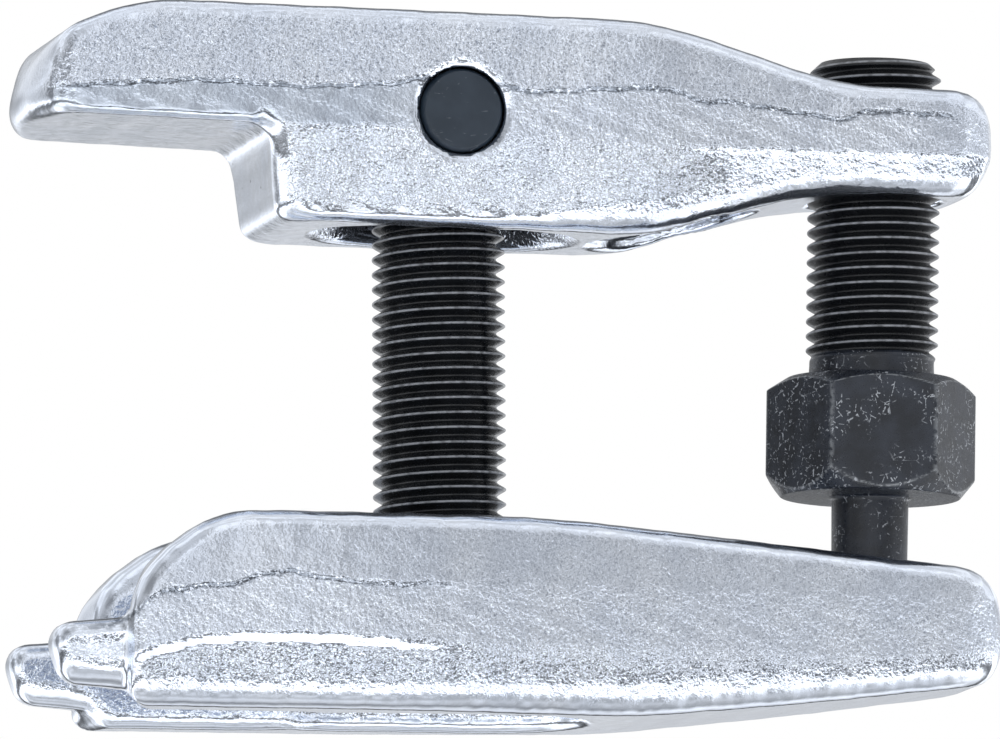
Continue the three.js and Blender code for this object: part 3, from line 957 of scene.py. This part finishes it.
def black_pin():
    """Ground end faces under thin black oxide, with a few handling scratches."""
    n = Nodes("black_pin", Metallic=0.0, Specular_IOR_Level=0.5)
    cloud = n.span(n.noise(4.0, detail=3.0), 0.3, 0.7)
    colour = n.blend(cloud, (0.012, 0.021, 0.033, 1), (0.020, 0.031, 0.046, 1))
    patches = n.span(n.noise(2.5, detail=2.0), 0.5, 0.62)
    lines = n.math("MULTIPLY", scratches(n, 2.0, (0.5, 1.0, 1.6), 0.035, 1.0), patches)
    colour = n.blend(n.math("MULTIPLY", lines, 0.5), colour, (0.25, 0.27, 0.30, 1))
    normal = n.bump(n.noise(0.3, detail=3.0), 0.01)
    return n.finish(colour, n.span(n.noise(0.8, detail=2.0), 0.3, 0.7, 0.32, 0.42), normal)


def polished_steel():
    """Hardened ball, lapped bright, with faint wear tracks."""
    n = Nodes("hard_ball", Metallic=1.0)
    cloud = n.span(n.noise(1.2, detail=3.0), 0.35, 0.65)
    colour = n.blend(cloud, (0.52, 0.53, 0.55, 1), (0.62, 0.63, 0.65, 1))
    normal = n.bump(n.noise(0.25, detail=2.0), 0.004)
    return n.finish(colour, n.span(n.noise(0.5, detail=3.0), 0.3, 0.7, 0.10, 0.22), normal)


# ---- camera, light and floor ------------------------------------------------------------------

CAMERA_AIM = Vector((-1.46, 0, 47.81))  # millimetres, in the part's frame
CAMERA_DISTANCE = 2300
CAMERA_LENS = 617.4
VIEW_AZIMUTH = math.radians(12.57)
VIEW_RISE = math.radians(6.69)
VIEW_ROLL = math.radians(-0.35)


def camera():
    data = bpy.data.cameras.new("camera")
    data.sensor_width = 36
    data.lens = CAMERA_LENS
    data.clip_start = 0.05
    data.clip_end = 20
    placed = bpy.data.objects.new("camera", data)
    ahead = Vector((math.sin(VIEW_AZIMUTH) * math.cos(VIEW_RISE),
                    math.cos(VIEW_AZIMUTH) * math.cos(VIEW_RISE), math.sin(VIEW_RISE)))
    level = Vector((math.cos(VIEW_AZIMUTH), -math.sin(VIEW_AZIMUTH), 0))
    up = level.cross(ahead)
    right = level * math.cos(VIEW_ROLL) + up * math.sin(VIEW_ROLL)
    upright = up * math.cos(VIEW_ROLL) - level * math.sin(VIEW_ROLL)
    turn = Matrix((right, upright, -ahead)).transposed().to_4x4()
    stands = CAMERA_AIM - ahead * CAMERA_DISTANCE
    placed.matrix_world = Matrix.Translation(stands * MM) @ turn
    bpy.context.scene.collection.objects.link(placed)
    bpy.context.scene.camera = placed


# Brightness of the studio by height, as seen by the metal: (degrees above the horizon, light).
STUDIO = [(-90, 0.80), (-72, 0.78), (-64, 0.55), (-57, 0.82), (-46, 1.9), (-31, 1.9), (-26, 0.40),
          (-21, 0.14), (-16, 0.16), (-13, 1.2), (-8, 2.1), (-3, 1.25), (3, 0.95), (9, 0.72),
          (14, 1.06), (20, 0.82), (28, 1.1), (36, 0.88), (50, 1.0), (90, 0.95)]
# Dark parts of the room: (direction, how dark, cosine where it starts, cosine where it is full).
SHADES = [((-0.87, 0.47, 0.12), 0.65, 0.91, 0.985),
          ((0.22, 0.75, 0.60), 0.78, 0.89, 0.98),
          ((0.15, 0.72, -0.68), 0.5, 0.80, 0.95),
          ((0.0, 0.98, -0.08), 0.36, 0.84, 0.97),
          ((0.54, -0.84, 0.10), 0.32, 0.78, 0.96),
          ((-0.70, -0.45, 0.55), 0.5, 0.78, 0.95)]


def studio():
    """White all round to the camera; to the object, a graded room with a few darker parts."""
    world = bpy.data.worlds.new("studio")
    bpy.context.scene.world = world
    world.use_nodes = True
    tree = world.node_tree
    tree.nodes.clear()
    new = tree.nodes.new
    link = tree.links.new

    def span(value, low, high, to_low, to_high, kind):
        node = new("ShaderNodeMapRange")
        node.interpolation_type = kind
        for socket, number in zip(("From Min", "From Max", "To Min", "To Max"),
                                  (low, high, to_low, to_high)):
            node.inputs[socket].default_value = number
        link(value, node.inputs["Value"])
        return node.outputs[0]

    direction = new("ShaderNodeTexCoord").outputs["Generated"]
    split = new("ShaderNodeSeparateXYZ")
    link(direction, split.inputs[0])
    height = span(split.outputs["Z"], -1, 1, 0, 1, "LINEAR")
    ramp = new("ShaderNodeValToRGB")
    stops = ramp.color_ramp.elements
    for n, (degrees, light) in enumerate(STUDIO):
        at = 0.5 + 0.5 * math.sin(math.radians(degrees))
        stop = stops[n] if n < 2 else stops.new(at)
        stop.position = at
        stop.color = (light * 0.5 * 0.975, light * 0.5, light * 0.5 * 1.04, 1)
    link(height, ramp.inputs["Fac"])
    uneven = new("ShaderNodeTexNoise")
    uneven.inputs["Scale"].default_value = 4.0
    uneven.inputs["Detail"].default_value = 0.0
    link(direction, uneven.inputs["Vector"])
    strength = span(uneven.outputs["Fac"], 0.3, 0.7, 1.3, 2.5, "LINEAR")
    for toward, dark, starts, full in SHADES:
        facing = new("ShaderNodeVectorMath")
        facing.operation = "DOT_PRODUCT"
        facing.inputs[1].default_value = Vector(toward).normalized()
        link(direction, facing.inputs[0])
        shade = span(facing.outputs["Value"], starts, full, 1.0, 1 - dark, "SMOOTHSTEP")
        product = new("ShaderNodeMath")
        product.operation = "MULTIPLY"
        link(strength, product.inputs[0])
        link(shade, product.inputs[1])
        strength = product.outputs[0]
    room = new("ShaderNodeBackground")
    link(strength, room.inputs["Strength"])
    link(ramp.outputs["Color"], room.inputs["Color"])
    paper = new("ShaderNodeBackground")
    paper.inputs["Color"].default_value = (1, 1, 1, 1)
    seen = new("ShaderNodeLightPath").outputs["Is Camera Ray"]
    mix = new("ShaderNodeMixShader")
    link(seen, mix.inputs["Fac"])
    link(room.outputs[0], mix.inputs[1])
    link(paper.outputs[0], mix.inputs[2])
    out = new("ShaderNodeOutputWorld")
    link(mix.outputs[0], out.inputs["Surface"])


def soft_light(name, place_mm, aim_mm, width_mm, height_mm, watts):
    data = bpy.data.lights.new(name, "AREA")
    data.shape = "RECTANGLE"
    data.size = width_mm * MM
    data.size_y = height_mm * MM
    data.energy = watts
    light = bpy.data.objects.new(name, data)
    light.location = Vector(place_mm) * MM
    light.visible_glossy = False
    light.rotation_mode = "QUATERNION"
    light.rotation_quaternion = (Vector(aim_mm) - Vector(place_mm)).to_track_quat("-Z", "Y")
    bpy.context.scene.collection.objects.link(light)


def floor():
    """A pale sheet the tool stands on, seen from above only: it would hide the tool from below."""
    mesh = bpy.data.meshes.new("floor")
    reach = 3.0
    level = -0.0004
    mesh.from_pydata([(-reach, -reach, level), (reach, -reach, level),
                      (reach, reach, level), (-reach, reach, level)], [], [(0, 1, 2, 3)])
    sheet = bpy.data.objects.new("floor", mesh)
    bpy.context.scene.collection.objects.link(sheet)
    material = bpy.data.materials.new("floor")
    material.use_nodes = True
    tree = material.node_tree
    shader = tree.nodes["Principled BSDF"]
    shader.inputs["Base Color"].default_value = (0.86, 0.87, 0.88, 1)
    shader.inputs["Roughness"].default_value = 0.8
    clear = tree.nodes.new("ShaderNodeBsdfTransparent")
    seen = tree.nodes.new("ShaderNodeLightPath").outputs["Is Camera Ray"]
    behind = tree.nodes.new("ShaderNodeNewGeometry").outputs["Backfacing"]
    front = tree.nodes.new("ShaderNodeMath")
    front.operation = "SUBTRACT"
    front.use_clamp = True
    tree.links.new(seen, front.inputs[0])
    tree.links.new(behind, front.inputs[1])
    mix = tree.nodes.new("ShaderNodeMixShader")
    tree.links.new(front.outputs[0], mix.inputs["Fac"])
    tree.links.new(clear.outputs[0], mix.inputs[1])
    tree.links.new(shader.outputs[0], mix.inputs[2])
    tree.links.new(mix.outputs[0], tree.nodes["Material Output"].inputs["Surface"])
    mesh.materials.append(material)


# ---- the scene --------------------------------------------------------------------------------

plated = plated_forging()
lower_fork(plated)
upper_arm(plated)
threaded_column(black_thread())
pressure_screw(black_screw())
pivot_pin(black_pin())
thrust_ball(polished_steel())

camera()
studio()
soft_light("key", (-500, -900, 700), (0, 0, 50), 700, 500, 2.2)
soft_light("fill", (700, -700, 300), (0, 0, 50), 600, 600, 1.0)
floor()
bpy.context.scene.view_settings.view_transform = "Standard"
